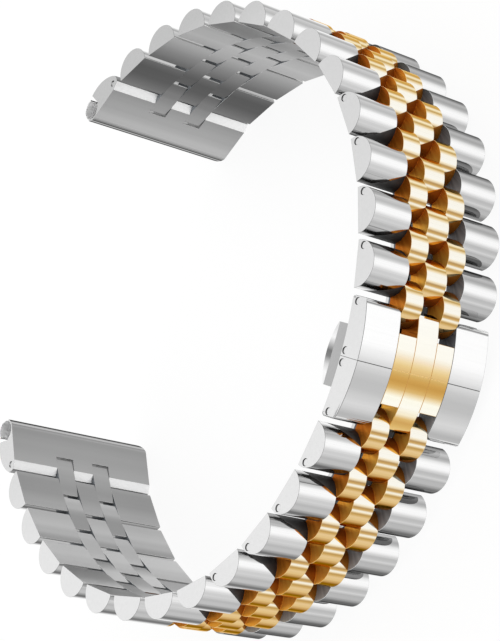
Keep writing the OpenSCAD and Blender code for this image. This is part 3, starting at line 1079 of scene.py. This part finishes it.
def frameCopy(node, name):
    # a copy of the frame's own solid, merged and in millimetres, ready to be worked on
    piece = twinOf(frame["nodes"][node], name)
    piece.parent = None
    for key in list(piece.keys()):
        if key.startswith("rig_"):
            del piece[key]
    piece.hide_render = False
    piece.hide_viewport = False
    resizePiece(piece, (1 / unit, 1 / unit, 1 / unit))
    openEdit(piece)
    bpy.ops.mesh.remove_doubles(threshold=refining["merge"])
    bpy.ops.mesh.dissolve_limited(angle_limit=math.radians(refining["flat"]))
    leaveEdit()
    return piece


def backToMetres(piece, edge):
    softenEdges(piece, edge, angle=refining["edgeAngle"])
    flattenShading(piece)
    resizePiece(piece, (unit, unit, unit))


def buildEndLink(arm):
    name = arm + "_end_link"
    piece = frameCopy(name, name + "_body")
    bore, hinge = barBores[arm + "_bar_bore"], hinges[name + "_turn"]
    tool = addBar(bore / unit, endLink["boreRadius"], endLink["boreLength"], endLink["boreSteps"])
    carve(piece, tool)
    # towards the wrist, and along the strap away from the clasp
    heading = math.radians(endLink["heading"])
    way = 1 if arm == "upper" else -1
    wristWard = Vector((-math.cos(heading), -way * math.sin(heading), 0))
    away = Vector((-math.sin(heading), way * math.cos(heading), 0))
    depth, along, slope = endLink["hingeCut"]
    lean = math.radians(slope)
    hingeSide = wristWard * math.cos(lean) - away * math.sin(lean)
    pin = hinge / unit
    cutAway(piece, pin + wristWard * depth + away * along, hingeSide)
    half = halfWidth(name)
    for side, radius in ((-1, endLink["farCorner"]), (1, endLink["nearCorner"])):
        centre = pin + away * (endLink["tongueEnd"] - radius)
        centre += Vector((0, 0, side * (half - radius)))
        for angle in endLink["cornerCuts"]:
            turn = math.radians(angle)
            outward = away * math.sin(turn) + Vector((0, 0, side * math.cos(turn)))
            cutAway(piece, centre + outward * radius, outward)
    backToMetres(piece, endLink["edge"])

    def choose(normal, centre):
        fromBore = (centre.xy - bore.xy).length
        fromPin = (centre - hinge).dot(away)
        # the bore, the side faces of the shell round it and the hinge facet take the painted light
        if abs(normal.z) > flatFace:
            if fromBore < endLink["shell"][0] * unit and fromPin > endLink["shell"][1] * unit:
                return boreHighlight
            return steelSide if normal.z > 0 else steelShaded
        isBore = fromBore < (endLink["boreRadius"] + endLink["boreRim"]) * unit
        if isBore or normal.dot(hingeSide) > endLink["hingeFace"]:
            return boreHighlight
        if normal.dot(wristWard) > endLink["wristFace"]:
            return wristSteel
        if normal.z > rimFace:
            return capRim
        if (centre - bore).dot(away) > 0:
            return steelRollPaintedReflection
        if normal.dot(away) < -endLink["seamFace"] and fromPin < 0:
            return seamSteel
        return steelPaintedReflection

    finishes = [
        steelPaintedReflection, steelSide, steelShaded, boreHighlight, capRim, wristSteel, seamSteel, steelRollPaintedReflection,
    ]
    paintFaces(piece, finishes, choose)
    finishPiece(piece, name, [name], hinge + away * endLink["middle"] * unit)


def buildPlate(node):
    piece = frameCopy(node, node + "_plate")
    resizePiece(piece, (1, 1, clasp["width"]), (0, 0, middle / unit))
    backToMetres(piece, clasp["edge"])

    def choose(normal, _):
        return plateBack if normal.x > clasp["backFace"] else brushedPlate

    paintFaces(piece, [brushedPlate, plateBack], choose)
    finishPiece(piece, node, [node])


def buildButton(name, side):
    piece = frameCopy(name, name + "_body")
    flat, slices = button["flatSide"], button["slices"]
    seat = hinges["upper_cover_turn"].x / unit - cover["seamPin"][0]
    steps = [button["halfLength"] * (2 * step / slices - 1) for step in range(slices + 1)]
    for y in steps[1:-1]:
        scoreLine(piece, (0, y, 0), (0, 1, 0))
    # the flat side is lifted to follow the round wrist side of the covers
    for y in steps:
        sag = cover["inRadius"] - math.sqrt(cover["inRadius"] ** 2 - y ** 2)
        way = (seat - sag - button["gap"] - flat, 0, 0)
        movePoints(piece, lambda spot: abs(spot.y - y) < slack and spot.x > flat - slack, way)
    lean = math.radians(button["rimSlope"])
    rimWay = Vector((-math.sin(lean), 0, side * math.cos(lean)))
    cutAway(piece, (flat - button["rimFrom"], 0, middle / unit + side * button["face"]), rimWay)
    backToMetres(piece, button["edge"])

    def choose(normal, _):
        if normal.dot(rimWay) > button["rimFace"]:
            return buttonRim
        return buttonSide if side * normal.z > button["sideFace"] else steelPaintedReflection

    paintFaces(piece, [steelPaintedReflection, buttonSide, buttonRim], choose)
    finishPiece(piece, name, [name])


for arm in arms:
    buildEndLink(arm)
    buildPlate(arm + "_blade")
buildPlate("clasp_base")
buildButton("front_button", 1)
buildButton("back_button", -1)
spring = frame["nodes"]["button_spring"]
spring.data.materials.clear()
spring.data.materials.append(springWire)
print("end links, blades, base and buttons made")

# floor and light

studio = {
    "floorGap": 0.00005,  # metres under the strap
    "floorSize": 3.0, "floorTone": 0.9, "floorRough": 0.9,
    "floorGlow": 0.86,  # share of the glow in what the camera sees
    "glow": 1.03, "skyGlow": 0.8, "lampPower": 0.35, "lampSize": 0.35,
    "lamps": {
        "keyLamp": (0.25, 0.3, 0.45), "fillLamp": (0.1, -0.4, 0.35), "backLamp": (-0.4, 0.1, 0.4),
    },
}


def seenDirectly(tree):
    # 1 for what the camera, metal and glass see, 0 for the light that falls on things
    path = tree.nodes.new("ShaderNodeLightPath")
    seen = mathNode(tree, "MAXIMUM", path.outputs["Is Camera Ray"], path.outputs["Is Glossy Ray"])
    return mathNode(tree, "MAXIMUM", seen, path.outputs["Is Transmission Ray"])


def addFloor():
    freshStart()
    place = (0, 0, cadLow.z - studio["floorGap"])
    bpy.ops.mesh.primitive_plane_add(size=studio["floorSize"], location=place)
    floor = bpy.context.object
    floor.name = "floor"
    material, tree, shader = startMaterial("floorPale", 0.0)
    shader.inputs["Base Color"].default_value = (studio["floorTone"],) * 3 + (1,)
    shader.inputs["Roughness"].default_value = studio["floorRough"]
    glow = tree.nodes.new("ShaderNodeEmission")
    glow.inputs["Strength"].default_value = studio["glow"]
    mix = tree.nodes.new("ShaderNodeMixShader")
    share = mathNode(tree, "MULTIPLY", seenDirectly(tree), studio["floorGlow"])
    tree.links.new(share, mix.inputs[0])
    tree.links.new(shader.outputs[0], mix.inputs[1])
    tree.links.new(glow.outputs[0], mix.inputs[2])
    tree.links.new(mix.outputs[0], tree.nodes["Material Output"].inputs["Surface"])
    floor.data.materials.append(material)


def addSky():
    world = bpy.data.worlds.new("studioSky")
    bpy.context.scene.world = world
    world.use_nodes = True
    tree = world.node_tree
    sky = tree.nodes["Background"]
    sky.inputs["Color"].default_value = (1, 1, 1, 1)
    seen = seenDirectly(tree)
    strength = mathNode(tree, "MULTIPLY_ADD", seen, 1 - studio["skyGlow"], studio["skyGlow"])
    tree.links.new(strength, sky.inputs["Strength"])


def addLamps():
    aim = (cadLow + cadHigh) / 2
    for name, place in studio["lamps"].items():
        bpy.ops.object.light_add(type="AREA", location=place)
        lamp = bpy.context.object
        lamp.name = name
        lamp.data.size = studio["lampSize"]
        lamp.data.energy = studio["lampPower"]
        lamp.rotation_euler = (aim - Vector(place)).to_track_quat("-Z", "Y").to_euler()
        lamp.visible_glossy = False


addFloor()
addSky()
addLamps()
bpy.context.scene.view_settings.view_transform = "Standard"
print("floor and light set")
